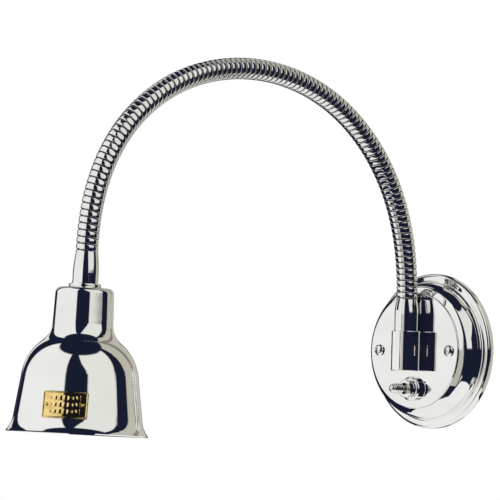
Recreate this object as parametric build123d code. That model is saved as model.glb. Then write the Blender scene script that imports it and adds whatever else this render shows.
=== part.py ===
from build123d import *
import math
import os

# A wall lamp on a flexible metal hose. Millimetres, +Z up. The wall is the plane y = 0 and the lamp
# stands out from it along -Y. The origin is the middle of the two wall screws.

# Wall plate: a spun cup with a rounded shoulder and a rolled edge, closed at the front by a flat disc.
CUP_SHEET = 1.2
CUP_FRONT_Y = -20.4
CUP_LIP_R = 36.0
CUP_ROUND_R = 3.6
CUP_ROUND_AT = 39.6
CUP_ROUND_ANGLE = math.radians(55)
CUP_WAIST_R = 46.3
CUP_WAIST_Y = -7.6
CUP_EDGE_R = 52.4
FACE_Y = -23.0
FACE_R = 39.0
FACE_SCREW_X = 31.3
M4_R = 1.95
M4_HOLE_R = 2.2

# Bracket that is screwed to the wall first.
BRACKET_T = 1.5
BRACKET_SPAN = 78.0
BRACKET_WIDTH = 20.0
CABLE_HOLE_R = 10.0
WALL_SCREW_Z = 30.0
WALL_SLOT = (8.0, 4.5)
BUSH_R = 4.0
BUSH_H = 6.0

# Connections behind the face: a three-way terminal block and an earth screw.
EARTH_X = -20.0
EARTH_R = 1.6
BLOCK_Z = 18.0
BLOCK_SIZE = (24.0, 11.5, 14.0)
BLOCK_POLES = (-8.0, 0.0, 8.0)
BLOCK_SCREW_X = 4.0
BLOCK_SCREW_R = 1.3
WIRE_Y = -7.2
INSERT_R = 2.1
INSERT_L = 12.0

# Boss on the face, and the hollow stud that holds it and lets the wires through.
BOSS_R = 9.85
BOSS_Y = -31.4
BOSS_LOW = -13.9
BOSS_TOP = 12.9
BOSS_BORE_R = 6.03
STUD_Z = -2.0
STUD_R = 4.95
STUD_BORE_R = 3.5
M10_HOLE_R = 5.0
GRUB_Z = 8.2

# Toggle switch under the boss.
SWITCH_Z = -25.8
SWITCH_PIVOT_Y = -27.0
BUSHING_R = 5.9
BUSHING_FRONT_Y = -32.0
TOGGLE_BALL_R = 3.6
TOGGLE_LEAN = 11.5

# Flexible hose: interlocked turns, drawn as ribs, in lengths that meet at ball joints.
PITCH = 4.09
RIBS_PER_LENGTH = 8
SPAN = PITCH * RIBS_PER_LENGTH
BENDS = (10, 13.5, 14.5, 14, 14, 13, 12, 12, 13.5, 15, 17, 16.5, 13)
ARM_YAW = 5.0
CREST_R = 7.0
GROOVE_R = 6.3
CREST_START = 1.98
CREST_W = 3.1
BORE_R = 5.0
BALL_R = 5.6
CUP_CLEARANCE = 0.06
DISH_R = 7.35
NECK_R = 4.0
NECK_BORE_R = 3.0
TAIL_R = 6.0
TAIL_L = 10.0

# Ferrules at the two ends of the hose.
FERRULE_R = 8.1
FERRULE_TIP_R = 6.9
FERRULE_BORE_R = 6.03
HOSE_START_Z = 34.1
FERRULE_L = 20.0

# Head: heights are measured down from the top of its ferrule.
COLLAR_R = 10.2
COLLAR_T = 2.7
NECK_TOP = -22.7
SHADE_SHEET = 1.0
SHADE_NECK_R = 18.2
SHADE_CONE_TOP = (36.4, -76.8)
SHADE_CONE_LOW = (40.3, -104.6)
SHADE_RIM = (44.4, -113.0)

# Nameplate on the conical part of the shade.
PLATE_AZIMUTH = 40.0
PLATE_HALF_ANGLE = 20.8
PLATE_WIDTH = 28.0
PLATE_CORNER_R = 1.6
PLATE_TOP = -88.0
PLATE_LOW = -104.6
PLATE_T = 0.55
PLATE_RELIEF = 0.35
RIVET_R = 0.65
RIVET_INSET = 4.2

# Lampholder and bulb, small screw cap.
NUT_T = 3.0
HOLDER_TOP = NECK_TOP - SHADE_SHEET - NUT_T
HOLDER_R = 13.4
HOLDER_L = 36.0
HOLDER_FLOOR = HOLDER_TOP - 15.0
NIPPLE_LOW = HOLDER_TOP - 6.5
SLEEVE_R = 8.2
SLEEVE_L = 19.5
CONTACT_LOW = HOLDER_TOP - 18.0
CAP_R = 6.9
CAP_TOP = CONTACT_LOW - 1.6
CAP_LOW = CAP_TOP - 17.5
BULB_R = 14.0
GLASS_LOW = -102.0


def outline(start, *steps):
    """A closed face: each step is a point for a straight side, or (via, end) for an arc."""
    edges = []
    here = start
    for step in steps:
        if isinstance(step[0], tuple):
            edges.append(ThreePointArc(here, *step))
            here = step[1]
        else:
            edges.append(Line(here, step))
            here = step
    edges.append(Line(here, start))
    return make_face(edges)


def cap(radius, height, tip):
    """The (via, end) of a round cap that starts at (radius, height) and meets the axis squarely at tip."""
    rise = tip - height
    sphere_r = (radius**2 + rise**2) / (2 * abs(rise))
    half = math.asin(radius / sphere_r) / 2
    middle = tip - math.copysign(sphere_r * (1 - math.cos(half)), rise)
    return (sphere_r * math.sin(half), middle), (0, tip)


def lathe(face):
    """Turn a face drawn as (radius, height) about the upright axis."""
    return revolve(Plane.XZ * face, Axis.Z)


def wall_lathe(face):
    """Turn a face drawn as (radius, y) about the line that stands out of the wall."""
    return revolve(face, Axis.Y)


def rod(radius, start, end):
    """A round bar between two points."""
    along = Vector(*end) - Vector(*start)
    frame = Plane(origin=start, z_dir=along)
    return frame * Cylinder(radius, along.length, align=(Align.CENTER, Align.CENTER, Align.MIN))


def outward(x, y, z):
    """A frame at a point of the wall plate, with its own +Z pointing away from the wall."""
    return Plane(origin=(x, y, z), x_dir=(1, 0, 0), z_dir=(0, -1, 0))


def slotted_screw(head_r, head_h, shank_r, shank_l, slot=0.9):
    """A round-headed screw that stands on its own z = 0, with the shank below."""
    edge_h = 0.25 * head_h
    dome = lathe(outline((0, 0), (head_r, 0), (head_r, edge_h), cap(head_r, edge_h, head_h)))
    cut = Pos(0, 0, head_h) * Box(slot, 3 * head_r, head_h)
    shank = Pos(0, 0, -shank_l / 2) * Cylinder(shank_r, shank_l)
    return dome - cut + shank


def hex_nut(across_flats, thickness, hole_r):
    """A hexagon nut on its own z = 0, with its corners turned off on top."""
    corner_r = across_flats / math.sqrt(3)
    blank = extrude(RegularPolygon(corner_r, 6), thickness)
    side = (corner_r, thickness - 0.5)
    top = (corner_r - 0.9, thickness)
    turned = lathe(outline((0, 0), (corner_r, 0), side, top, (0, thickness)))
    return (blank & turned) - Pos(0, 0, thickness / 2) * Cylinder(hole_r, 2 * thickness)


# ---- Wall plate ----


def wall_bracket():
    slot_long, slot_wide = WALL_SLOT
    bar = SlotOverall(BRACKET_SPAN, BRACKET_WIDTH)
    plate = bar + bar.rotate(Axis.Z, 90) + Circle(CABLE_HOLE_R + 9) - Circle(CABLE_HOLE_R)
    wall_slot = SlotOverall(slot_long, slot_wide).rotate(Axis.Z, 90)
    plate -= Pos(0, WALL_SCREW_Z) * wall_slot + Pos(0, -WALL_SCREW_Z) * wall_slot
    bracket = extrude(Plane.XZ * plate, BRACKET_T)
    for x in (-FACE_SCREW_X, FACE_SCREW_X):
        bracket += rod(BUSH_R, (x, 0, 0), (x, -BUSH_H, 0))
        bracket -= rod(M4_R + 0.05, (x, 1, 0), (x, -BUSH_H - 1, 0))
    bracket -= rod(EARTH_R + 0.05, (EARTH_X, 1, 0), (EARTH_X, -BRACKET_T - 1, 0))
    front = -BRACKET_T - 1
    bracket -= rod(BLOCK_SCREW_R + 0.05, (BLOCK_SCREW_X, 1, BLOCK_Z), (BLOCK_SCREW_X, front, BLOCK_Z))
    return bracket


def canopy():
    t = CUP_SHEET
    waist = (CUP_WAIST_R, CUP_WAIST_Y)
    middle = (45.24, -13.5)

    def shoulder(radius, angle):
        """A point of the rounded shoulder, at an angle from straight ahead."""
        across = CUP_ROUND_AT + radius * math.sin(angle)
        return across, CUP_FRONT_Y + CUP_ROUND_R - radius * math.cos(angle)

    half, full = CUP_ROUND_ANGLE / 2, CUP_ROUND_ANGLE
    inner_r = CUP_ROUND_R - t
    shell = outline(
        (CUP_LIP_R, CUP_FRONT_Y),
        (CUP_ROUND_AT, CUP_FRONT_Y),
        (shoulder(CUP_ROUND_R, half), shoulder(CUP_ROUND_R, full)),
        (middle, waist),
        ((CUP_WAIST_R + 0.65, CUP_WAIST_Y + 1.65), (CUP_WAIST_R + 2.3, CUP_WAIST_Y + 2.4)),
        (CUP_EDGE_R - 2.2, CUP_WAIST_Y + 2.5),
        ((CUP_EDGE_R - 0.4, -4.2), (CUP_EDGE_R, -3.0)),
        ((CUP_EDGE_R - 0.7, -1.2), (CUP_EDGE_R - 2.1, 0)),
        (CUP_EDGE_R - 3.6, 0),
        (CUP_EDGE_R - 3.6, -2.6),
        (CUP_WAIST_R + 2.1, -3.9),
        ((CUP_WAIST_R - 0.4, -5.1), (CUP_WAIST_R - t, CUP_WAIST_Y)),
        ((middle[0] - t, middle[1] + 0.4), shoulder(inner_r, full)),
        (shoulder(inner_r, half), shoulder(inner_r, 0)),
        (CUP_LIP_R, CUP_FRONT_Y + t),
    )
    return wall_lathe(shell)


def face_plate():
    disc = outline(
        (0, CUP_FRONT_Y),
        (0, FACE_Y),
        (FACE_R - 0.5, FACE_Y),
        ((FACE_R - 0.15, FACE_Y + 0.15), (FACE_R, FACE_Y + 0.5)),
        (FACE_R, CUP_FRONT_Y),
    )
    plate = wall_lathe(disc)
    for x in (-FACE_SCREW_X, FACE_SCREW_X):
        plate -= rod(M4_HOLE_R, (x, 0, 0), (x, 2 * FACE_Y, 0))
    plate -= rod(M10_HOLE_R + 0.1, (0, 0, STUD_Z), (0, 2 * FACE_Y, STUD_Z))
    plate -= rod(BUSHING_R + 0.1, (0, 0, SWITCH_Z), (0, 2 * FACE_Y, SWITCH_Z))
    return plate


def face_screws():
    screw = slotted_screw(3.9, 3.0, M4_R, -FACE_Y - 2.5)
    return Compound([outward(x, FACE_Y, 0) * screw for x in (-FACE_SCREW_X, FACE_SCREW_X)])


# ---- Connections behind the face ----


def terminal_block():
    wide, deep, tall = BLOCK_SIZE
    block = Pos(0, -BRACKET_T - deep / 2, BLOCK_Z) * Box(wide, deep, tall)
    block = fillet(block.edges().filter_by(Axis.Y), 1.2)
    front = -BRACKET_T - deep
    for x in BLOCK_POLES:
        block -= rod(INSERT_R + 0.02, (x, WIRE_Y, BLOCK_Z - tall), (x, WIRE_Y, BLOCK_Z + tall))
        for dz in (-3.5, 3.5):
            block -= rod(1.5, (x, WIRE_Y, BLOCK_Z + dz), (x, front - 1, BLOCK_Z + dz))
    hole = rod(BLOCK_SCREW_R + 0.1, (BLOCK_SCREW_X, 0, BLOCK_Z), (BLOCK_SCREW_X, front - 1, BLOCK_Z))
    return block - hole


def terminal_inserts():
    tubes = []
    for x in BLOCK_POLES:
        tube = Pos(x, WIRE_Y, BLOCK_Z) * (Cylinder(INSERT_R, INSERT_L) - Cylinder(1.4, INSERT_L))
        for dz in (-3.5, 3.5):
            tube -= rod(1.35, (x, WIRE_Y, BLOCK_Z + dz), (x, WIRE_Y - 3, BLOCK_Z + dz))
        tubes.append(tube)
    return Compound(tubes)


def terminal_screws():
    pin = Cylinder(1.3, 4.2) - Pos(0, 0, 2.1) * Box(0.5, 3, 1.2)
    return Compound([outward(x, WIRE_Y - 3.2, BLOCK_Z + dz) * pin for x in BLOCK_POLES for dz in (-3.5, 3.5)])


def block_screw():
    front = -BRACKET_T - BLOCK_SIZE[1]
    screw = slotted_screw(2.4, 1.5, BLOCK_SCREW_R, BLOCK_SIZE[1] + 1.2, 0.6)
    return outward(BLOCK_SCREW_X, front, BLOCK_Z) * screw


def earth_screw():
    washer_t = 0.6
    washer = Cylinder(3.8, washer_t) - Cylinder(EARTH_R + 0.1, washer_t)
    screw = slotted_screw(3.1, 2.0, EARTH_R, washer_t + BRACKET_T - 0.1)
    washer_at = outward(EARTH_X, -BRACKET_T - washer_t / 2, 0)
    screw_at = outward(EARTH_X, -BRACKET_T - washer_t, 0)
    return Compound([washer_at * washer, screw_at * screw])


# ---- Boss ----


def arm_boss():
    height = BOSS_TOP - BOSS_LOW
    post = Pos(0, BOSS_Y, BOSS_LOW + height / 2) * Cylinder(BOSS_R, height)
    post = fillet(post.edges().filter_by(GeomType.CIRCLE), 0.5)
    post -= Pos(0, FACE_Y + BOSS_R, 0) * Box(4 * BOSS_R, 2 * BOSS_R, 4 * height)
    post -= rod(BOSS_BORE_R, (0, BOSS_Y, BOSS_LOW + 5.5), (0, BOSS_Y, BOSS_TOP + 1))
    post -= rod(M10_HOLE_R, (0, FACE_Y + 1, STUD_Z), (0, BOSS_Y, STUD_Z))
    return post - rod(2.0, (-BOSS_R - 1, BOSS_Y, GRUB_Z), (0, BOSS_Y, GRUB_Z))


def grub_screw():
    start = -BOSS_R + 0.3
    pin = rod(1.95, (start, BOSS_Y, GRUB_Z), (-BOSS_BORE_R, BOSS_Y, GRUB_Z))
    key = Plane(origin=(start, BOSS_Y, GRUB_Z), z_dir=(1, 0, 0)) * extrude(RegularPolygon(1.15, 6), 1.8)
    return pin - key


def hollow_stud():
    ends = ((0, -12.0, STUD_Z), (0, BOSS_Y + BOSS_BORE_R + 0.2, STUD_Z))
    return rod(STUD_R, *ends) - rod(STUD_BORE_R, *ends)


def stud_washer():
    return Plane(origin=(0, CUP_FRONT_Y, STUD_Z), z_dir=(0, 1, 0)) * (
        Pos(0, 0, 0.5) * (Cylinder(8.5, 1.0) - Cylinder(M10_HOLE_R + 0.1, 1.0))
    )


def stud_nut():
    return Plane(origin=(0, CUP_FRONT_Y + 1.0, STUD_Z), z_dir=(0, 1, 0)) * hex_nut(14.0, 4.0, M10_HOLE_R)


# ---- Switch ----


def switch_body():
    deep = 11.5
    box = Pos(0, CUP_FRONT_Y + deep / 2, SWITCH_Z) * Box(22.0, deep, 13.0)
    box = fillet(box.edges().filter_by(Axis.Y), 1.5)
    pocket = rod(3.2, (0, CUP_FRONT_Y, SWITCH_Z), (0, CUP_FRONT_Y + 7.0, SWITCH_Z))
    return box - pocket


def switch_terminals():
    lug = Box(0.8, 4.0, 5.0) - rod(0.8, (-1, 0.6, 0), (1, 0.6, 0))
    return Compound([Pos(x, CUP_FRONT_Y + 13.5, SWITCH_Z) * lug for x in (-6.5, 6.5)])


def switch_bushing():
    seat_r = TOGGLE_BALL_R + 0.05
    front_r = 2.9
    front_dy = math.sqrt(seat_r**2 - front_r**2)
    back_r = 2.7
    back_dy = math.sqrt(seat_r**2 - back_r**2)
    sleeve = outline(
        (back_r + 0.7, CUP_FRONT_Y),
        (BUSHING_R, CUP_FRONT_Y),
        (BUSHING_R, BUSHING_FRONT_Y + 0.5),
        (BUSHING_R - 0.5, BUSHING_FRONT_Y),
        (3.9, BUSHING_FRONT_Y),
        (front_r, SWITCH_PIVOT_Y - front_dy),
        ((seat_r, SWITCH_PIVOT_Y), (back_r, SWITCH_PIVOT_Y + back_dy)),
    )
    return Pos(0, 0, SWITCH_Z) * wall_lathe(sleeve)


def dress_nut():
    ring = outline(
        (BUSHING_R + 0.05, FACE_Y),
        (8.2, FACE_Y),
        (8.2, FACE_Y - 2.6),
        ((7.7, FACE_Y - 3.9), (6.6, FACE_Y - 4.5)),
        (BUSHING_R + 0.05, FACE_Y - 4.5),
    )
    return Pos(0, 0, SWITCH_Z) * wall_lathe(ring)


def toggle_lever():
    """A ball with a short tail inside, and outside a neck, a grooved grip ring and a rounded tip."""
    ball = Sphere(TOGGLE_BALL_R)
    tail = Pos(0, 0, -4.5) * Cylinder(1.6, 5.0)
    neck = Pos(0, 0, 4.5) * Cylinder(2.3, 9.0)
    grip = lathe(
        outline((0, 6.6), (2.8, 6.6), (3.4, 7.2), (3.4, 11.4), (3.0, 11.9), (3.0, 13.9), cap(3.0, 13.9, 16.2))
    )
    for height in (8.1, 9.3, 10.5):
        grip -= Pos(0, 0, height) * (Cylinder(4.0, 0.5) - Cylinder(3.0, 0.5))
    lever = ball + tail + neck + grip
    return outward(0, SWITCH_PIVOT_Y, SWITCH_Z) * lever.rotate(Axis.Y, -TOGGLE_LEAN)


# ---- Hose ----


def arc_point(start, bend, s):
    """Where the hose is at a distance s along one length: (out, up, heading), straight past its ends.

    A length leaves its start at a heading measured from upright, and turns evenly by its bend."""
    out, up, heading = start
    along = min(max(s, 0.0), SPAN)
    radius = SPAN / bend
    turned = heading + along / radius
    out += radius * (math.cos(heading) - math.cos(turned))
    up += radius * (math.sin(turned) - math.sin(heading))
    past = s - along
    return out + past * math.sin(turned), up + past * math.cos(turned), turned


def hose_starts():
    """The start of each length, and the end of the last one."""
    starts = [(0.0, HOSE_START_Z, 0.0)]
    for bend in BENDS:
        starts.append(arc_point(starts[-1], math.radians(bend), SPAN))
    return starts


def section(point):
    """The plane across the hose, with its X axis kept level across the arm."""
    out, up, heading = point
    return Plane(origin=(out, 0, up), x_dir=(0, 1, 0), z_dir=(math.sin(heading), 0, math.cos(heading)))


ARM = Pos(0, BOSS_Y, 0) * Rot(0, 0, -90 - ARM_YAW)


def hose_length(index):
    """One length of hose: ribs in a ruled loft, its bore, a ball at its start and a cup at its end."""
    start = hose_starts()[index]
    bend = math.radians(BENDS[index])
    first = index == 0
    last = index == len(BENDS) - 1

    def ring(s, radius):
        return section(arc_point(start, bend, s)) * Circle(radius)

    rings = [ring(0, GROOVE_R)] if first else [ring(CREST_START - 1.6, GROOVE_R)]
    for rib in range(RIBS_PER_LENGTH):
        low = CREST_START + rib * PITCH
        high = low + CREST_W
        rings += [ring(low - 0.1, GROOVE_R), ring(low + 0.4, CREST_R)]
        rings += [ring(high - 0.4, CREST_R), ring(high + 0.1, GROOVE_R)]
    hose_end = SPAN + PITCH
    if last:
        rings += [ring(hose_end - 0.4, GROOVE_R), ring(hose_end, TAIL_R)]
    body = loft(rings, ruled=True)

    here = section(start)
    there = section(arc_point(start, bend, SPAN))
    if first:
        body += here * (Pos(0, 0, -TAIL_L / 2) * Cylinder(TAIL_R, TAIL_L))
        body -= here * (Pos(0, 0, -TAIL_L / 2) * Cylinder(BORE_R, TAIL_L + 0.2))
    if last:
        body += there * (Pos(0, 0, PITCH + TAIL_L / 2) * Cylinder(TAIL_R, TAIL_L))
        body -= there * (Pos(0, 0, PITCH + TAIL_L / 2 - 3) * Cylinder(BORE_R, TAIL_L + 6))

    bore_from = 0.0 if first else DISH_R + 2.2
    bore_to = SPAN if last else SPAN - 2.0
    middle = (bore_from + bore_to) / 2
    a, b, c = (section(arc_point(start, bend, s)) for s in (bore_from, middle, bore_to))
    body -= sweep(a * Circle(BORE_R), ThreePointArc(a.origin, b.origin, c.origin))

    if not first:
        body -= here * Sphere(DISH_R)
        neck_l = DISH_R + 1.0
        ball = Sphere(BALL_R) - Pos(0, 0, -BALL_R - 3.2) * Box(20, 20, 2 * BALL_R)
        ball += Pos(0, 0, neck_l / 2) * Cylinder(NECK_R, neck_l)
        body += here * ball
        body -= here * (Pos(0, 0, 4.0) * Cylinder(NECK_BORE_R, 16.0))
    if not last:
        body -= there * Sphere(BALL_R + CUP_CLEARANCE)
    return ARM * body


def wall_ferrule():
    boss_top = BOSS_TOP
    profile = outline(
        (4.0, GRUB_Z - 4.6),
        (TAIL_R, GRUB_Z - 4.6),
        (TAIL_R, boss_top),
        (FERRULE_R, boss_top),
        (FERRULE_R + 0.05, HOSE_START_Z - 10.0),
        ((7.75, HOSE_START_Z - 4.2), (FERRULE_TIP_R, HOSE_START_Z)),
        (FERRULE_BORE_R, HOSE_START_Z),
        (FERRULE_BORE_R, HOSE_START_Z - TAIL_L),
        (4.0, HOSE_START_Z - TAIL_L),
    )
    return Pos(0, BOSS_Y, 0) * lathe(profile)


# ---- Head ----

END_OUT, END_UP, END_HEADING = hose_starts()[-1]
YAW = math.radians(ARM_YAW)
HEAD_OUT = END_OUT + PITCH * math.sin(END_HEADING)
HEAD_UP = END_UP + PITCH * math.cos(END_HEADING)
HEAD_LEAN = math.degrees(END_HEADING) - 180
HEAD_AT = Pos(-HEAD_OUT * math.sin(YAW), BOSS_Y - HEAD_OUT * math.cos(YAW), HEAD_UP)
HEAD = HEAD_AT * Rot(0, 0, -ARM_YAW) * Rot(HEAD_LEAN, 0, 0)


def shade_ferrule():
    profile = outline(
        (FERRULE_BORE_R, 0),
        (FERRULE_TIP_R, 0),
        ((7.75, -6.5), (FERRULE_R, -13.5)),
        (FERRULE_R, -FERRULE_L),
        (M10_HOLE_R, -FERRULE_L),
        (M10_HOLE_R, -TAIL_L - 2.5),
        (4.0, -TAIL_L - 2.5),
        (4.0, -TAIL_L),
        (FERRULE_BORE_R, -TAIL_L),
    )
    return HEAD * lathe(profile)


def shade_collar():
    low = -FERRULE_L - COLLAR_T
    profile = outline(
        (M10_HOLE_R, low),
        (COLLAR_R - 0.5, low),
        ((COLLAR_R, low + COLLAR_T / 2), (COLLAR_R - 0.5, -FERRULE_L)),
        (M10_HOLE_R, -FERRULE_L),
    )
    return HEAD * lathe(profile)


def shade_nipple():
    top = -TAIL_L - 2.6
    profile = outline((STUD_BORE_R, NIPPLE_LOW), (STUD_R, NIPPLE_LOW), (STUD_R, top), (STUD_BORE_R, top))
    return HEAD * lathe(profile)


def shade_nut():
    nut = Rot(180, 0, 0) * hex_nut(17.0, NUT_T, M10_HOLE_R)
    return HEAD * (Pos(0, 0, NECK_TOP - SHADE_SHEET) * nut)


def shade_curves():
    """The outside of the bell from its hole to its rim: flat top, neck, flare, shoulder, cone, lip."""
    corner = 3.2
    top = Line((M10_HOLE_R + 0.1, NECK_TOP), (SHADE_NECK_R - corner, NECK_TOP))
    bend = TangentArc(top @ 1, (SHADE_NECK_R, NECK_TOP - corner), tangent=top % 1)
    neck = Line(bend @ 1, (SHADE_NECK_R + 0.7, -45.2))
    flare = TangentArc(neck @ 1, (24.5, -56.2), tangent=neck % 1)
    shoulder = TangentArc(flare @ 1, SHADE_CONE_TOP, tangent=flare % 1)
    cone = Line(SHADE_CONE_TOP, SHADE_CONE_LOW)
    lip = TangentArc(SHADE_CONE_LOW, SHADE_RIM, tangent=cone % 1)
    return Wire([top, bend, neck, flare, shoulder, cone, lip])


def shade():
    wall = make_face(offset(shade_curves(), SHADE_SHEET, side=Side.RIGHT))
    bell = lathe(wall)
    for side in (-1, 1):
        bell -= plate_frame(side) * Cylinder(RIVET_R, 8.0)
    return HEAD * bell


# ---- Nameplate: a bare brass plate with a raised edge and three plain bars ----


def cone_radius(height):
    """Outside radius of the bell's conical part at a height."""
    (r0, z0), (r1, z1) = SHADE_CONE_TOP, SHADE_CONE_LOW
    return r0 + (r1 - r0) * (height - z0) / (z1 - z0)


def strip(low, high, lift, thickness, half_angle):
    """A piece of shell that lies on the cone, lift above it, centred on -Y."""
    r_low = cone_radius(low) + lift
    r_high = cone_radius(high) + lift
    face = outline((r_low, low), (r_low + thickness, low), (r_high + thickness, high), (r_high, high))
    turned = revolve(Plane.XZ * face, Axis.Z, revolution_arc=2 * half_angle)
    return turned.rotate(Axis.Z, -90 - half_angle + PLATE_AZIMUTH)


def plate_frame(side):
    """A frame on the cone, +Z square to it: at a rivet for side -1 or 1, in the plate's middle for 0."""
    height = (PLATE_TOP + PLATE_LOW) / 2
    turn = math.radians(-90 + PLATE_AZIMUTH + side * (PLATE_HALF_ANGLE - RIVET_INSET))
    (r0, z0), (r1, z1) = SHADE_CONE_TOP, SHADE_CONE_LOW
    slope = math.atan2(r1 - r0, z0 - z1)
    flat = Vector(math.cos(turn), math.sin(turn), 0)
    out = flat * math.cos(slope) + Vector(0, 0, math.sin(slope))
    return Plane(origin=flat * cone_radius(height) + Vector(0, 0, height), x_dir=(0, 0, 1), z_dir=out)


def nameplate():
    edge = 1.1
    edge_angle = 1.7
    base = strip(PLATE_LOW, PLATE_TOP, 0.0, PLATE_T, PLATE_HALF_ANGLE)
    frame = strip(PLATE_LOW, PLATE_TOP, PLATE_T, PLATE_RELIEF, PLATE_HALF_ANGLE)
    frame -= strip(PLATE_LOW + edge, PLATE_TOP - edge, PLATE_T - 0.2, 2.0, PLATE_HALF_ANGLE - edge_angle)
    plate = base + frame
    bar_pitch = (PLATE_TOP - PLATE_LOW) / 4
    for row in (1, 2, 3):
        middle = PLATE_LOW + row * bar_pitch
        plate += strip(middle - 0.9, middle + 0.9, PLATE_T, PLATE_RELIEF, PLATE_HALF_ANGLE - 6.5)
    for side in (-1, 1):
        plate -= plate_frame(side) * Cylinder(RIVET_R, 8.0)
    blank = extrude(RectangleRounded(PLATE_TOP - PLATE_LOW, PLATE_WIDTH, PLATE_CORNER_R), 9.0, both=True)
    return HEAD * (plate & (plate_frame(0) * blank))


def nameplate_rivets():
    head = lathe(outline((0, 0), (1.1, 0), cap(1.1, 0, 0.8)))
    pin = Pos(0, 0, -1.1) * Cylinder(RIVET_R - 0.03, 2.2)
    rivet = Pos(0, 0, PLATE_T + 0.05) * (head + pin)
    return Compound([HEAD * (plate_frame(side) * rivet) for side in (-1, 1)])


# ---- Lampholder and bulb ----


def lampholder_body():
    low = HOLDER_TOP - HOLDER_L
    profile = outline(
        (M10_HOLE_R, HOLDER_TOP),
        (8.6, HOLDER_TOP),
        (8.6, HOLDER_TOP - 4.0),
        ((12.4, HOLDER_TOP - 6.0), (HOLDER_R, HOLDER_TOP - 10.0)),
        (HOLDER_R, low + 1.0),
        (HOLDER_R - 1.0, low),
        (SLEEVE_R + 0.05, low),
        (SLEEVE_R + 0.05, HOLDER_FLOOR),
        (1.3, HOLDER_FLOOR),
        (1.3, HOLDER_TOP - 8.0),
        (M10_HOLE_R, HOLDER_TOP - 8.0),
    )
    body = lathe(profile)
    for x in (-4.6, 4.6):
        body -= Pos(x, 0, HOLDER_TOP - 12.0) * Cylinder(1.2, 12.0)
    return HEAD * body


def lampholder_sleeve():
    top = HOLDER_FLOOR
    profile = outline(
        (3.6, top),
        (SLEEVE_R, top),
        (SLEEVE_R, top - SLEEVE_L),
        (CAP_R + 0.3, top - SLEEVE_L),
        (CAP_R + 0.3, top - 0.7),
        (3.6, top - 0.7),
    )
    return HEAD * lathe(profile)


def centre_contact():
    top = HOLDER_FLOOR
    pin = Pos(0, 0, top + 2.0) * Cylinder(1.25, 4.0)
    spring = lathe(outline((0, top), (3.0, top), (3.0, top - 0.6), cap(3.0, top - 0.6, CONTACT_LOW)))
    return HEAD * (pin + spring)


def bulb_cap():
    """The threaded shell, with a flat ring that holds the insulator at its top."""
    profile = outline(
        (2.6, CAP_TOP),
        (4.2, CAP_TOP),
        (CAP_R, CAP_TOP - 2.4),
        (CAP_R, CAP_LOW),
        (CAP_R - 0.4, CAP_LOW),
        (CAP_R - 0.4, CAP_TOP - 2.6),
        (4.0, CAP_TOP - 0.5),
        (2.6, CAP_TOP - 0.5),
    )
    return HEAD * lathe(profile)


def bulb_tip():
    """The contact button with the insulator that it sits in."""
    seat = CAP_TOP - 0.5
    profile = outline(
        (0, seat - 0.9),
        (3.6, seat),
        (2.6, seat),
        (2.6, CAP_TOP),
        (2.3, CAP_TOP),
        cap(2.3, CAP_TOP, CONTACT_LOW),
    )
    return HEAD * lathe(profile)


def bulb_glass():
    thin = 0.8
    neck_r = CAP_R - 0.43
    neck_top = CAP_LOW + 5.0
    widest = -78.0
    shoulder = GLASS_LOW + 12.5
    inner_cap = cap(BULB_R - thin, shoulder, GLASS_LOW + thin)
    profile = outline(
        (neck_r - thin, neck_top),
        (neck_r, neck_top),
        (neck_r, CAP_LOW - 1.5),
        ((10.6, CAP_LOW - 6.5), (BULB_R, widest)),
        (BULB_R, shoulder),
        cap(BULB_R, shoulder, GLASS_LOW),
        (0, GLASS_LOW + thin),
        (inner_cap[0], (BULB_R - thin, shoulder)),
        (BULB_R - thin, widest),
        ((9.8, CAP_LOW - 6.8), (neck_r - thin, CAP_LOW - 1.5)),
    )
    return HEAD * lathe(profile)


parts = {
    "wall_bracket": wall_bracket(),
    "canopy": canopy(),
    "face_plate": face_plate(),
    "face_screws": face_screws(),
    "terminal_block": terminal_block(),
    "terminal_inserts": terminal_inserts(),
    "terminal_screws": terminal_screws(),
    "block_screw": block_screw(),
    "earth_screw": earth_screw(),
    "arm_boss": arm_boss(),
    "grub_screw": grub_screw(),
    "hollow_stud": hollow_stud(),
    "stud_washer": stud_washer(),
    "stud_nut": stud_nut(),
    "switch_body": switch_body(),
    "switch_terminals": switch_terminals(),
    "switch_bushing": switch_bushing(),
    "dress_nut": dress_nut(),
    "toggle_lever": toggle_lever(),
    "wall_ferrule": wall_ferrule(),
    "shade_ferrule": shade_ferrule(),
    "shade_collar": shade_collar(),
    "shade_nipple": shade_nipple(),
    "shade_nut": shade_nut(),
    "shade": shade(),
    "nameplate": nameplate(),
    "nameplate_rivets": nameplate_rivets(),
    "lampholder_body": lampholder_body(),
    "lampholder_sleeve": lampholder_sleeve(),
    "centre_contact": centre_contact(),
    "bulb_cap": bulb_cap(),
    "bulb_tip": bulb_tip(),
    "bulb_glass": bulb_glass(),
}
for number in range(len(BENDS)):
    parts[f"hose_{number + 1:02d}"] = hose_length(number)

os.makedirs("parts", exist_ok=True)
for name, shape in parts.items():
    export_step(shape, f"parts/{name}.step")
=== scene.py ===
import math

import bmesh
import bpy
import numpy as np
from mathutils import Matrix, Vector


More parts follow.
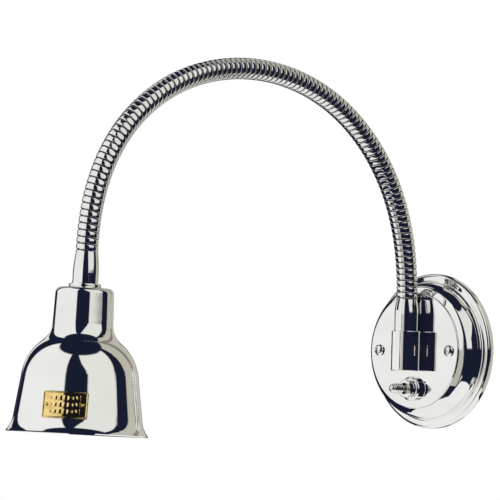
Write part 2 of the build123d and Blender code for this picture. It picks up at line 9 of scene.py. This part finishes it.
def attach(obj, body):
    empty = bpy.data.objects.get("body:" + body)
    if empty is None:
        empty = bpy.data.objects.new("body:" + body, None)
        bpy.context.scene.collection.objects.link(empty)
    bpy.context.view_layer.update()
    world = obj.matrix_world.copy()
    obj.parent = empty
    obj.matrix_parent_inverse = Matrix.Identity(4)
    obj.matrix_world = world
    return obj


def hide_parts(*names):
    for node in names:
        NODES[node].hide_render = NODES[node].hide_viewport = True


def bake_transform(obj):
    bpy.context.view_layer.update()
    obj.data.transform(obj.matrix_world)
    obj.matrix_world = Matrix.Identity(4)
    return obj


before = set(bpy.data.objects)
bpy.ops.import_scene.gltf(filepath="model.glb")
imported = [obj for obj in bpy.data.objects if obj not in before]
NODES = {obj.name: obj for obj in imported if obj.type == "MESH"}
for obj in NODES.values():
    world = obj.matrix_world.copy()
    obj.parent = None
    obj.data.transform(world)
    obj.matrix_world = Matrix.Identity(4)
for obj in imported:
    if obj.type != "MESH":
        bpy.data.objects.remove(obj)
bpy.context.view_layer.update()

MM = 0.001

# ---- Studio: seen from the camera, angles are turned from its direction, positive to the right ----

CAMERA_AZIMUTH = math.radians(44.73)
CAMERA_ELEVATION = math.radians(-2.3)
CAMERA_ROLL = math.radians(1.5)
CAMERA_DISTANCE = 2.209
AIM = Vector((-0.01475, -0.16804, 0.06129))
LENS, SENSOR = 245.09, 36
FLOOR_Z, FLOOR_HALF = -1.6, 2.0
BACKDROP = (1, 1, 1, 1)

WHITE = (0.93, 0.93, 0.92, 1)
NAVY = (0.010, 0.013, 0.032, 1)
OLIVE = (0.56, 0.54, 0.46, 1)
SHADOW = (0.26, 0.25, 0.20, 1)
GREY = (0.84, 0.85, 0.81, 1)
DIM = (0.52, 0.51, 0.45, 1)

# Cards that only the metal sees: paint, and corners in metres right of the origin, towards the camera
# and up. The cloth and the table lie level below the lamp.
CLOTH_HALF, CLOTH_Z = 1.7, -1.3
TABLE_R, TABLE_Z, TABLE_SIDES = 0.29, -0.26, 24
TABLE_ANGLES = [k * math.pi / (TABLE_SIDES / 2) for k in range(TABLE_SIDES)]
CARDS = {
    "right_card": (NAVY, (
        (0.383, 0.321, -0.42), (0.497, 0.052, -0.42), (0.497, 0.052, 0.42), (0.383, 0.321, 0.17),
    )),
    "left_card": (NAVY, (
        (-0.41, 0.02, 0.07), (-0.463, -0.205, 0.07), (-0.463, -0.205, 0.32), (-0.41, 0.02, 0.32),
    )),
    "olive_card": (OLIVE, (
        (0.370, 0.026, -0.45), (0.42, -0.12, -0.45), (0.42, -0.12, 0.5), (0.370, 0.026, 0.5),
    )),
    "cloth": (NAVY, [
        (x * CLOTH_HALF, y * CLOTH_HALF, CLOTH_Z) for x, y in ((-1, -1), (1, -1), (1, 1), (-1, 1))
    ]),
    "table": (WHITE, [(TABLE_R * math.cos(a), TABLE_R * math.sin(a), TABLE_Z) for a in TABLE_ANGLES]),
}

# Panels of the far studio, in degrees: paint, left and right side, and how low and high it reaches. A
# side (at, lean) is at the angle at when level with the lamp, and moves by lean for each degree up.
PANEL_SOFT = 2.0
PANELS = (
    (OLIVE, (106, 0.0), (170, 0.0), -38, 62),
    (SHADOW, (133, 0.1), (143, 0.1), -38, 62),
    (GREY, (28, -0.49), (71.5, 0.3), 5, 62),
    (GREY, (-164, 0.0), (-152, 0.0), 5, 62),
    (WHITE, (-133, 0.15), (-26, 0.0), -3, 62),
    (WHITE, (-94, 0.0), (-26, 0.0), -60, 0),
    (DIM, (-42, 0.0), (-26, 0.0), -60, 2),
)

# Soft lamps: place and size in metres, and power in watts.
LAMPS = {"key": ((-1.2, -1.6, 1.8), 1.2, 12), "fill": ((1.6, -0.8, 1.0), 1.2, 6)}

# ---- The hose, as the wall end and the bends of its thirteen lengths give it ----

PITCH = 4.09 * MM
TURNS_PER_LENGTH = 8
SPAN = TURNS_PER_LENGTH * PITCH
BENDS = np.radians((10, 13.5, 14.5, 14, 14, 13, 12, 12, 13.5, 15, 17, 16.5, 13))
LENGTHS = len(BENDS)
ARM_YAW = math.radians(5.0)
ROOT = Vector((0, -31.4 * MM, 34.1 * MM))
STEPS_PER_TURN = 48
HOSE_END = (LENGTHS * TURNS_PER_LENGTH + 1) * PITCH

# The strip's cross-section: along the hose and out from its middle, in mm. The crown faces out and
# the hook at the low end lies under the lip of the turn before.
STRIP = np.array((
    (0.36, 6.30), (0.37, 6.62), (0.46, 6.80), (0.64, 6.90), (0.95, 6.96), (1.60, 6.99), (2.25, 6.995),
    (2.90, 6.985), (3.40, 6.955), (3.66, 6.89), (3.80, 6.76), (3.85, 6.55), (3.83, 6.36), (3.55, 6.34),
    (3.45, 6.55), (2.20, 6.62), (0.95, 6.58), (0.80, 6.40), (0.78, 6.12), (-0.20, 6.10), (-0.30, 6.24),
)) * MM
# Painted shade: the gap between two turns is coloured dark up to the first radius below, and turns bright
# over the second, further out.
PAINTED_SHADE_TOP = 6.3 * MM
PAINTED_SHADE_FADE = 0.6 * MM


# ---- Building meshes ----


def put_mesh(name, points, faces):
    """A mesh object at the origin from an array of points and an array of faces."""
    mesh = bpy.data.meshes.new(name)
    faces = faces.tolist() if isinstance(faces, np.ndarray) else faces
    mesh.from_pydata(points.reshape(-1, 3).tolist(), [], faces)
    mesh.validate()
    mesh.shade_smooth()
    piece = bpy.data.objects.new(name, mesh)
    bpy.context.scene.collection.objects.link(piece)
    return piece


def grid_faces(rows, columns, close_rows=False, close_columns=False):
    """The quads of a grid of rows by columns points, joined up at an end where it closes."""
    r = np.arange(rows if close_rows else rows - 1)[:, None]
    c = np.arange(columns if close_columns else columns - 1)[None, :]
    r1, c1 = (r + 1) % rows, (c + 1) % columns
    corners = (r * columns + c, r * columns + c1, r1 * columns + c1, r1 * columns + c)
    return np.stack(corners, -1).reshape(-1, 4)


def crisp(piece, degrees):
    """Keeps edges sharper than an angle crisp, and the rest smooth."""
    piece.data.set_sharp_from_angle(angle=math.radians(degrees))
    return piece


# ---- The hose's course ----


def hose_starts():
    """Start of each length and the end of the last: out from the root, up from it, and the heading.

    A length is an arc of its own bend, so it goes out by R(cos a - cos b) and up by R(sin b - sin a),
    where R is the length over the bend, and a and b are the headings at its two ends."""
    starts = [(0.0, 0.0, 0.0)]
    for bend in BENDS:
        out, up, heading = starts[-1]
        radius, after = SPAN / bend, heading + bend
        out += radius * (math.cos(heading) - math.cos(after))
        up += radius * (math.sin(after) - math.sin(heading))
        starts.append((out, up, after))
    return np.array(starts)


STARTS = hose_starts()
SIDE = np.array((math.cos(ARM_YAW), -math.sin(ARM_YAW), 0))
OUT = np.array((-math.sin(ARM_YAW), -math.cos(ARM_YAW), 0))
UP = np.array((0, 0, 1.0))


def course(s):
    """Middle of the hose, its direction and its outer normal at distances s along it.

    Each distance is looked up in its own length and turned along that arc; before the first and
    after the last the hose goes straight on."""
    s = np.asarray(s, float)
    k = np.clip((s // SPAN).astype(int), 0, LENGTHS - 1)
    along = s - k * SPAN
    inside = np.clip(along, 0, SPAN)
    radius = SPAN / BENDS[k]
    heading = STARTS[k, 2]
    turned = heading + inside / radius
    past = along - inside
    out = STARTS[k, 0] + radius * (np.cos(heading) - np.cos(turned)) + past * np.sin(turned)
    up = STARTS[k, 1] + radius * (np.sin(turned) - np.sin(heading)) + past * np.cos(turned)
    middle = np.array(ROOT) + out[..., None] * OUT + up[..., None] * UP
    ahead = np.sin(turned)[..., None] * OUT + np.cos(turned)[..., None] * UP
    normal = np.cos(turned)[..., None] * OUT - np.sin(turned)[..., None] * UP
    return middle, ahead, normal


def ring_points(s, radius, angle):
    """Points at distances s along the hose, radius out from its middle, turned by angle round it."""
    middle, _, normal = course(s)
    around = np.cos(angle)[..., None] * SIDE + np.sin(angle)[..., None] * normal
    return middle + radius[..., None] * around


def strip_piece(name, first_turn, last_turn):
    """A stretch of the wound strip: its cross-section carried along a helix round the hose.

    A point of the cross-section (a, r) at the angle t lies at the distance t/2pi pitches + a along
    the hose and r out from its middle, at the angle t round it. The ferrules cut it off square."""
    steps = int(round((last_turn - first_turn) * STEPS_PER_TURN))
    turn = np.linspace(first_turn, last_turn, steps + 1)[:, None]
    s = np.clip(turn * PITCH + STRIP[None, :, 0], 0, HOSE_END)
    angle = np.broadcast_to(2 * math.pi * turn, s.shape)
    radius = np.broadcast_to(STRIP[None, :, 1], s.shape)
    points = ring_points(s, radius, angle)
    count = len(STRIP)
    faces = grid_faces(steps + 1, count, close_columns=True).tolist()
    faces += [list(range(count))[::-1], [steps * count + i for i in range(count)]]
    piece = put_mesh(name, points, faces)
    # A mask from 0 in the gaps between turns, which the material paints dark as painted shade, to 1 on the
    # crowns.
    height = np.clip((radius - PAINTED_SHADE_TOP) / PAINTED_SHADE_FADE, 0, 1).astype(np.float32)
    crown = piece.data.attributes.new("crown", "FLOAT", "POINT")
    crown.data.foreach_set("value", height.ravel())
    fix_normals(piece)
    return crisp(piece, 50)


def fix_normals(piece):
    """Turns every face of a closed mesh outwards."""
    work = bmesh.new()
    work.from_mesh(piece.data)
    bmesh.ops.recalc_face_normals(work, faces=work.faces)
    work.to_mesh(piece.data)
    work.free()


def hose_node(k):
    """The CAD node of length k, counted from one."""
    return f"hose_{k:02d}"


def make_hose(finish):
    """The strip, cut at the middle of each length, so that each piece spans at most one joint."""
    half = TURNS_PER_LENGTH / 2
    pieces = []
    for k in range(LENGTHS + 1):
        first = -1 if k == 0 else (k - 1) * TURNS_PER_LENGTH + half
        last = k * TURNS_PER_LENGTH + half if k < LENGTHS else LENGTHS * TURNS_PER_LENGTH + 1
        pieces.append(strip_piece(f"hose_strip_{k:02d}", first, last))
        if 0 < k < LENGTHS:
            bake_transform(pieces[-1])
        else:
            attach(pieces[-1], "base" if k == 0 else "head")
        pieces[-1].data.materials.append(finish)
    for k in range(1, LENGTHS + 1):
        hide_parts(hose_node(k))
    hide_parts(hose_node(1))


# ---- The wall plate's cup ----

CUP_STEPS = 256
# Corners of the sheet's section from the open front round by the wall and back inside: out from the
# middle, away from the wall, and the rounding, all in mm.
CUP_SECTION = (
    (36.0, 20.35, 0), (39.05, 20.35, 0), (39.05, 21.7, 0.15), (43.1, 19.36, 4.35), (46.3, 14.04, 18.0),
    (46.3, 7.3, 1.7), (52.4, 7.3, 2.2), (52.4, 1.9, 1.8), (50.6, 0, 0), (49.4, 0, 0), (51.2, 2.2, 1.0),
    (51.2, 6.1, 1.0), (45.1, 6.1, 2.5), (45.1, 14.0, 14.0), (42.3, 18.3, 3.0), (40.0, 19.15, 1.0),
    (36.0, 19.15, 0),
)


def rounded(corners, steps=12):
    """A closed outline with each corner replaced by an arc that touches both of its sides.

    The arc starts at radius x tan(half the turn) from the corner; its centre lies on the bisector."""
    outline = []
    count = len(corners)
    for i, (x, y, radius) in enumerate(corners):
        here = np.array((x, y))
        before = np.array(corners[i - 1][:2]) - here
        after = np.array(corners[(i + 1) % count][:2]) - here
        before, after = before / np.linalg.norm(before), after / np.linalg.norm(after)
        half = math.acos(float(np.clip(before @ after, -1, 1))) / 2
        if radius == 0 or math.pi / 2 - half < 0.01:
            outline.append(here)
            continue
        bisector = (before + after) / np.linalg.norm(before + after)
        centre = here + bisector * radius / math.sin(half)
        spread = math.pi / 2 - half
        side = -1 if before[0] * after[1] - before[1] * after[0] > 0 else 1
        for angle in np.linspace(-spread, spread, steps):
            c, w = math.cos(angle * side), math.sin(angle * side)
            out = -bisector
            outline.append(centre + radius * np.array((out[0] * c - out[1] * w, out[0] * w + out[1] * c)))
    return np.array(outline)


def make_cup(finish):
    """The cup's section turned round the middle of the wall plate."""
    section = rounded(CUP_SECTION) * MM
    angle = np.linspace(0, 2 * math.pi, CUP_STEPS, endpoint=False)[:, None]
    radius, depth = section[None, :, 0], section[None, :, 1]
    points = np.stack((radius * np.cos(angle), -depth + 0 * angle, radius * np.sin(angle)), -1)
    cup = put_mesh("cup_sheet", points, grid_faces(len(angle), len(section), True, True))
    fix_normals(cup)
    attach(cup, "base")
    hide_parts("canopy")
    cup.data.materials.append(finish)
    crisp(cup, 40)


# ---- The nameplate, on the conical part of the bell ----

PLATE_TURN = math.radians(40.0)
PLATE_HALF = 14.0 * MM
PLATE_TOP = 88.0 * MM
PLATE_LOW = 104.6 * MM
PLATE_CORNER_R = 1.6 * MM
PLATE_T = 0.55 * MM
PLATE_RELIEF = 0.35 * MM
PLATE_EDGE = 1.1 * MM
BAR_HALF_LENGTH = 9.4 * MM
BAR_HALF_HEIGHT = 1.75 * MM
BAR_STEP = 3.13 * MM
BEAD_WIDTH = 0.62 * BAR_STEP
BEAD_FULLNESS = 1.2
PLATE_ROWS, PLATE_COLUMNS = 161, 201
CONE_TOP = (36.4 * MM, 76.8 * MM)
CONE_LOW = (40.3 * MM, 104.6 * MM)


def bead(distance, half):
    """The height, from 0 to 1, of a rounded bead at a distance from its middle line."""
    return np.cos(np.clip(distance / half, -1, 1) * math.pi / 2) ** BEAD_FULLNESS


def make_nameplate(finish):
    """A rectangle with rounded corners laid round the cone, as two sheets joined along their edge.

    A point is across from the plate's middle and down from the cone's start: its cone radius r
    follows from down, and the turn round the bell is the angle whose sine is across / r. The front
    sheet rises by a rounded edge bead and by three rows of beads, which are all raised the same."""
    half_tall = (PLATE_LOW - PLATE_TOP) / 2
    v = np.sin(np.linspace(-1, 1, PLATE_ROWS) * math.pi / 2)[:, None] * half_tall
    into_corner = np.clip(np.abs(v) - (half_tall - PLATE_CORNER_R), 0, PLATE_CORNER_R)
    half_wide = PLATE_HALF - PLATE_CORNER_R + np.sqrt(PLATE_CORNER_R**2 - into_corner**2)
    across = np.linspace(-1, 1, PLATE_COLUMNS)[None, :] * half_wide
    down = np.broadcast_to(v + (PLATE_TOP + PLATE_LOW) / 2, across.shape)

    past_x = np.abs(across) - (PLATE_HALF - PLATE_CORNER_R)
    past_v = np.abs(v) - (half_tall - PLATE_CORNER_R)
    corner = np.hypot(np.clip(past_x, 0, None), np.clip(past_v, 0, None))
    inset = PLATE_CORNER_R - corner - np.clip(np.maximum(past_x, past_v), None, 0)
    edge = bead(inset - PLATE_EDGE / 2, PLATE_EDGE / 2)
    row = (v + half_tall / 2) / (half_tall / 2)
    off_row = (row - np.clip(np.round(row), 0, 2)) * half_tall / 2
    off_bead = np.mod(across + BAR_STEP / 2, BAR_STEP) - BAR_STEP / 2
    bars = bead(off_row, BAR_HALF_HEIGHT) * bead(off_bead, BEAD_WIDTH) * (np.abs(across) < BAR_HALF_LENGTH)
    lift = PLATE_T + PLATE_RELIEF * np.maximum(edge, bars)

    origin, ahead, normal = course(HOSE_END)
    share = (down - CONE_TOP[1]) / (CONE_LOW[1] - CONE_TOP[1])
    radius = CONE_TOP[0] + (CONE_LOW[0] - CONE_TOP[0]) * share
    turn = (PLATE_TURN + np.arcsin(across / radius))[..., None]
    outward = np.sin(turn) * SIDE - np.cos(turn) * normal
    level = origin + down[..., None] * ahead
    front, back = level + (radius + lift)[..., None] * outward, level + radius[..., None] * outward
    rows, columns = across.shape
    faces = grid_faces(rows, columns)
    grid = np.arange(rows * columns).reshape(rows, columns)
    here = np.concatenate((grid[0], grid[1:, -1], grid[-1, -2::-1], grid[-2:0:-1, 0]))
    after = np.roll(here, -1)
    behind = rows * columns
    wall = np.stack((here, after, after + behind, here + behind), -1)
    faces = np.vstack((faces, faces[:, ::-1] + behind, wall))
    plate = put_mesh("nameplate_relief", np.stack((front, back)), faces)
    fix_normals(plate)
    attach(plate, "head")
    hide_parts("nameplate")
    plate.data.materials.append(finish)
    crisp(plate, 50)


# ---- Materials ----


class Wire:
    """One output socket of a tree; arithmetic on it adds Math nodes."""

    def __init__(self, tree, socket):
        self.tree, self.socket = tree, socket

    def math(self, operation, other=None, swapped=False):
        pair = (other, self) if swapped else (self, other)
        sockets = {i: v for i, v in enumerate(pair) if v is not None}
        return self.tree.add("Math", sockets, operation=operation)

    def __add__(self, other):
        return self.math("ADD", other)

    def __sub__(self, other):
        return self.math("SUBTRACT", other)

    def __rsub__(self, other):
        return self.math("SUBTRACT", other, True)

    def __mul__(self, other):
        return self.math("MULTIPLY", other)

    def __truediv__(self, other):
        return self.math("DIVIDE", other)

    __radd__, __rmul__ = __add__, __mul__

    def between(self, low, high, to_low=0.0, to_high=1.0):
        """Rises smoothly from to_low to to_high as the value goes from low to high."""
        sockets = {0: self, 1: low, 2: high, 3: to_low, 4: to_high}
        return self.tree.add("MapRange", sockets, interpolation_type="SMOOTHSTEP")


class Tree:
    """A node tree under construction."""

    def __init__(self, owner):
        owner.use_nodes = True
        self.tree = owner.node_tree
        self.tree.nodes.clear()

    def add(self, kind, sockets=None, out=0, **settings):
        """One node: its settings first, then the values or links of its sockets. Gives an output."""
        node = self.tree.nodes.new("ShaderNode" + kind)
        for key, value in settings.items():
            setattr(node, key, value)
        for key, value in (sockets or {}).items():
            if isinstance(value, Wire):
                self.tree.links.new(value.socket, node.inputs[key])
            else:
                node.inputs[key].default_value = value
        return Wire(self, node.outputs[out]) if node.outputs else node

    def place(self, scale=(1, 1, 1)):
        """Object coordinates, stretched."""
        where = self.add("TexCoord", out="Object")
        return self.add("Mapping", {"Vector": where, "Scale": scale})

    def noise(self, scale, detail=2.0, stretch=(1, 1, 1), distortion=0.0):
        where = self.place(stretch)
        sockets = {"Vector": where, "Scale": scale, "Detail": detail, "Distortion": distortion}
        return self.add("TexNoise", sockets)

    def blend(self, share, a, b):
        """One colour turning into another as the share goes from 0 to 1."""
        return self.add("Mix", {0: share, 6: a, 7: b}, out=2, data_type="RGBA")

    def bump(self, height, strength, distance, under=None):
        sockets = {"Height": height, "Strength": strength, "Distance": distance}
        if under is not None:
            sockets["Normal"] = under
        return self.add("Bump", sockets)


def principled(name, **sockets):
    """A material of one Principled shader; a function given for a socket is built in its tree."""
    material = bpy.data.materials.new(name)
    tree = Tree(material)
    ready = {}
    for key, value in sockets.items():
        ready[key.replace("_", " ")] = value(tree) if callable(value) else value
    shader = tree.add("BsdfPrincipled", ready)
    tree.add("OutputMaterial", {"Surface": shader})
    return material


def chrome(name, colour, rough=0.035, stretch=(1, 1, 1)):
    """Polished plating: faint smudges in the gloss, hair-fine polishing lines, a slight waviness."""

    def base(tree):
        smudged = tuple(0.94 * c for c in colour[:3]) + (1,)
        return tree.blend(tree.noise(45, 3).between(0.35, 0.75), colour, smudged)

    def gloss(tree):
        smudge = tree.noise(30, 4, distortion=0.6).between(0.45, 0.8)
        return smudge * 0.03 + tree.noise(2400, 1, stretch) * 0.015 + (rough - 0.01)

    def relief(tree):
        wave = tree.bump(tree.noise(26, 1), 0.05, 0.2 * MM)
        return tree.bump(tree.noise(3000, 1, stretch), 0.02, 0.01 * MM, wave)

    return principled(name, Base_Color=base, Metallic=1.0, Roughness=gloss, Normal=relief)


def hose_chrome():
    """The same plating on the wound strip, duller in the gaps between its turns and coloured near black
    there as painted shade.
    """

    def crown(tree):
        return tree.add("Attribute", out="Fac", attribute_name="crown").between(0.05, 0.8)

    def base(tree):
        patches = tree.noise(60, 3).between(0.35, 0.75)
        worn = tree.blend(patches, (0.86, 0.86, 0.85, 1), (0.79, 0.79, 0.79, 1))
        # Painted shade: the gaps between turns get a near-black colour.
        return tree.blend(crown(tree), (0.10, 0.10, 0.11, 1), worn)

    def gloss(tree):
        return 0.36 - crown(tree) * 0.30 + tree.noise(900, 2) * 0.02

    def relief(tree):
        return tree.bump(tree.noise(1500, 2), 0.04, 0.01 * MM)

    return principled("hose_chrome", Base_Color=base, Metallic=1.0, Roughness=gloss, Normal=relief)


def brushed(name, light, dark, rough, stretch):
    """Drawn or pressed metal: fine lines one way, and a cloudy tarnish."""

    def base(tree):
        return tree.blend(tree.noise(60, 4, distortion=0.4).between(0.3, 0.75), light, dark)

    def gloss(tree):
        return tree.noise(500, 3, stretch) * 0.16 + (rough - 0.08)

    def relief(tree):
        return tree.bump(tree.noise(900, 3, stretch), 0.12, 0.03 * MM)

    return principled(name, Base_Color=base, Metallic=1.0, Roughness=gloss, Normal=relief)


def moulded(name, light, dark, rough, grain):
    """Moulded plastic or glazed ceramic: a faint mottle and a fine grain."""

    def base(tree):
        return tree.blend(tree.noise(90, 3).between(0.3, 0.7), light, dark)

    def gloss(tree):
        return tree.noise(300, 2) * 0.12 + (rough - 0.06)

    def relief(tree):
        return tree.bump(tree.noise(grain, 2), 0.15, 0.03 * MM)

    return principled(name, Base_Color=base, Roughness=gloss, Normal=relief, IOR=1.5)


def opal_glass():
    """Milky bulb glass: glossy outside, clouded inside, a touch greyer towards its neck."""

    def base(tree):
        height = tree.add("SeparateXYZ", {0: tree.add("TexCoord", out="Object")}, out="Z")
        neck = height.between(-0.03, 0.0)
        cloud = tree.noise(80, 3).between(0.3, 0.8)
        return tree.blend(neck * 0.5 + cloud * 0.2, (0.93, 0.93, 0.90, 1), (0.74, 0.74, 0.72, 1))

    def gloss(tree):
        return tree.noise(200, 2) * 0.06 + 0.10

    coat = {"Coat_Weight": 0.6, "Coat_Roughness": 0.03}
    return principled("opal_glass", Base_Color=base, Roughness=gloss, IOR=1.5, **coat)


def plate_brass():
    """Polished brass of the nameplate: warm, with a mottled brown tarnish and a fine grain."""

    def base(tree):
        tarnish = tree.noise(220, 5, distortion=0.5).between(0.42, 0.75)
        return tree.blend(tarnish, (0.95, 0.72, 0.30, 1), (0.72, 0.50, 0.17, 1))

    def gloss(tree):
        return tree.noise(400, 4) * 0.06 + 0.03

    def relief(tree):
        return tree.bump(tree.noise(900, 3), 0.10, 0.02 * MM)

    return principled("plate_brass", Base_Color=base, Metallic=1.0, Roughness=gloss, Normal=relief)


def dress_nodes():
    """Each carried-over CAD node gets the finish of its own metal or plastic.

    Gives the finishes of the shade and of the nameplate, for the scene's own pieces."""
    bright = (0.89, 0.89, 0.88, 1)
    plating = chrome("plating", bright)
    spun = chrome("spun_plating", bright, 0.03, (0.15, 0.15, 3))
    disc = chrome("face_plating", bright, 0.03, (1, 0.1, 1))
    turned = chrome("turned_plating", (0.87, 0.87, 0.86, 1), 0.05, (0.2, 0.2, 4))
    satin = chrome("satin_plating", (0.87, 0.86, 0.82, 1), 0.22, (4, 0.3, 0.3))
    zinc = brushed("zinc_steel", (0.64, 0.65, 0.66, 1), (0.50, 0.51, 0.50, 1), 0.38, (1, 1, 12))
    plate = plate_brass()
    brass = brushed("turned_brass", (0.80, 0.62, 0.30, 1), (0.62, 0.45, 0.20, 1), 0.30, (1, 1, 10))
    finishes = {
        plating: "arm_boss face_screws dress_nut switch_bushing shade_collar",
        spun: "canopy shade",
        disc: "face_plate",
        turned: "wall_ferrule shade_ferrule",
        satin: "toggle_lever",
        zinc: "wall_bracket block_screw stud_washer terminal_screws grub_screw shade_nut",
        brass: "stud_nut hollow_stud shade_nipple terminal_inserts earth_screw switch_terminals "
        "lampholder_sleeve centre_contact",
        plate: "nameplate nameplate_rivets",
        brushed("nickel_cap", (0.76, 0.74, 0.69, 1), (0.62, 0.60, 0.55, 1), 0.28, (1, 1, 8)): "bulb_cap",
        brushed("solder", (0.55, 0.55, 0.56, 1), (0.42, 0.42, 0.43, 1), 0.45, (1, 1, 1)): "bulb_tip",
        moulded("white_plastic", (0.84, 0.83, 0.78, 1), (0.76, 0.75, 0.70, 1), 0.42, 700): "terminal_block",
        moulded("black_plastic", (0.030, 0.030, 0.034, 1), (0.045, 0.045, 0.048, 1), 0.40, 900):
            "switch_body lampholder_body",
        opal_glass(): "bulb_glass",
    }
    for material, names in finishes.items():
        for name in names.split():
            NODES[name].data.materials.clear()
            NODES[name].data.materials.append(material)
    return spun, plate


# ---- Studio ----


def camera_axes():
    """Unit vectors to the picture's right, to its top, and back from the object to the camera."""
    ca, sa, ce, se = (f(a) for a in (CAMERA_AZIMUTH, CAMERA_ELEVATION) for f in (math.cos, math.sin))
    back = Vector((sa * ce, -ca * ce, se))
    level = Vector((ca, sa, 0))
    upright = back.cross(level)
    right = level * math.cos(CAMERA_ROLL) + upright * math.sin(CAMERA_ROLL)
    return right, back.cross(right), back


def make_camera():
    """A long lens that looks at the lamp from the photograph's side."""
    right, top, back = camera_axes()
    place = AIM + back * CAMERA_DISTANCE
    data = bpy.data.cameras.new("camera")
    data.lens, data.sensor_width = LENS, SENSOR
    data.clip_start, data.clip_end = 0.1, 50
    camera = bpy.data.objects.new("camera", data)
    columns = Matrix((right, top, back)).transposed().to_4x4()
    camera.matrix_world = Matrix.Translation(place) @ columns
    bpy.context.scene.collection.objects.link(camera)
    bpy.context.scene.camera = camera


def panel(turn, rise, left, right, low, high):
    """1 inside a panel of the studio, falling softly to 0 across its edges, all in degrees."""

    def past(value, edge, *ends):
        return value.between(edge - PANEL_SOFT, edge + PANEL_SOFT, *ends)

    inside = past(turn, rise * left[1] + left[0]) * past(turn, rise * right[1] + right[0], 1.0, 0.0)
    return inside * past(rise, low) * past(rise, high, 1.0, 0.0)


def make_world():
    """A navy studio with panels: white to the left, grey and olive to the right, a narrow grey one behind.

    The camera itself sees a plain white backdrop."""
    world = bpy.data.worlds.new("studio")
    bpy.context.scene.world = world
    tree = Tree(world)
    look = tree.add("TexCoord", out="Generated")
    x, y, z = (tree.add("SeparateXYZ", {0: look}, out=axis) for axis in "XYZ")
    ca, sa = math.cos(CAMERA_AZIMUTH), math.sin(CAMERA_AZIMUTH)
    toward = x * sa - y * ca
    rightward = x * ca + y * sa
    turn = rightward.math("ARCTAN2", toward) * (180 / math.pi)
    rise = z.math("ARCSINE") * (180 / math.pi)
    colour = NAVY
    for paint, left, right, low, high in PANELS:
        colour = tree.blend(panel(turn, rise, left, right, low, high), colour, paint)
    ray = tree.add("LightPath", out="Is Camera Ray")
    colour = tree.blend(ray, colour, BACKDROP)
    tree.add("OutputWorld", {"Surface": tree.add("Background", {"Color": colour, "Strength": 1.0})})


def make_floor():
    """A pale floor far below the lamp. In the metal it glows, where the cloth doesn't hide it."""
    signs = ((-1, -1), (1, -1), (1, 1), (-1, 1))
    corners = np.array([(x * FLOOR_HALF, y * FLOOR_HALF, FLOOR_Z) for x, y in signs])
    floor = put_mesh("floor", corners, np.array([[0, 1, 2, 3]]))
    material = bpy.data.materials.new("floor")
    tree = Tree(material)
    light = tree.add("LightPath", out="Is Glossy Ray")
    pale = tree.add("BsdfDiffuse", {"Color": (0.82, 0.82, 0.81, 1)})
    glow = tree.add("Emission", {"Color": WHITE, "Strength": 0.85})
    tree.add("OutputMaterial", {"Surface": tree.add("MixShader", {0: light, 1: pale, 2: glow})})
    floor.data.materials.append(material)


def make_card(name, paint, corners):
    """A plain glowing card, seen only in the metal."""
    ca, sa = math.cos(CAMERA_AZIMUTH), math.sin(CAMERA_AZIMUTH)
    points = np.array([(r * ca + t * sa, r * sa - t * ca, z) for r, t, z in corners])
    card = put_mesh(name, points, np.arange(len(points))[None, :])
    material = bpy.data.materials.new(name)
    tree = Tree(material)
    tree.add("OutputMaterial", {"Surface": tree.add("Emission", {"Color": paint, "Strength": 1.0})})
    card.data.materials.append(material)
    card.visible_camera = card.visible_diffuse = card.visible_shadow = False


def make_lamp(name, place, size, power):
    """A soft square lamp aimed at the middle of the picture, not seen in the metal."""
    data = bpy.data.lights.new(name, "AREA")
    data.size, data.energy = size, power
    lamp = bpy.data.objects.new(name, data)
    lamp.location = place
    lamp.rotation_mode = "QUATERNION"
    lamp.rotation_quaternion = (AIM - Vector(place)).to_track_quat("-Z", "Y")
    lamp.visible_glossy = False
    bpy.context.scene.collection.objects.link(lamp)


spun_finish, plate_finish = dress_nodes()
make_hose(hose_chrome())
make_nameplate(plate_finish)
make_cup(spun_finish)
make_camera()
make_world()
make_floor()
for card, (paint, corners) in CARDS.items():
    make_card(card, paint, corners)
for lamp, (place, size, power) in LAMPS.items():
    make_lamp(lamp, place, size, power)
bpy.context.scene.view_settings.view_transform = "Standard"
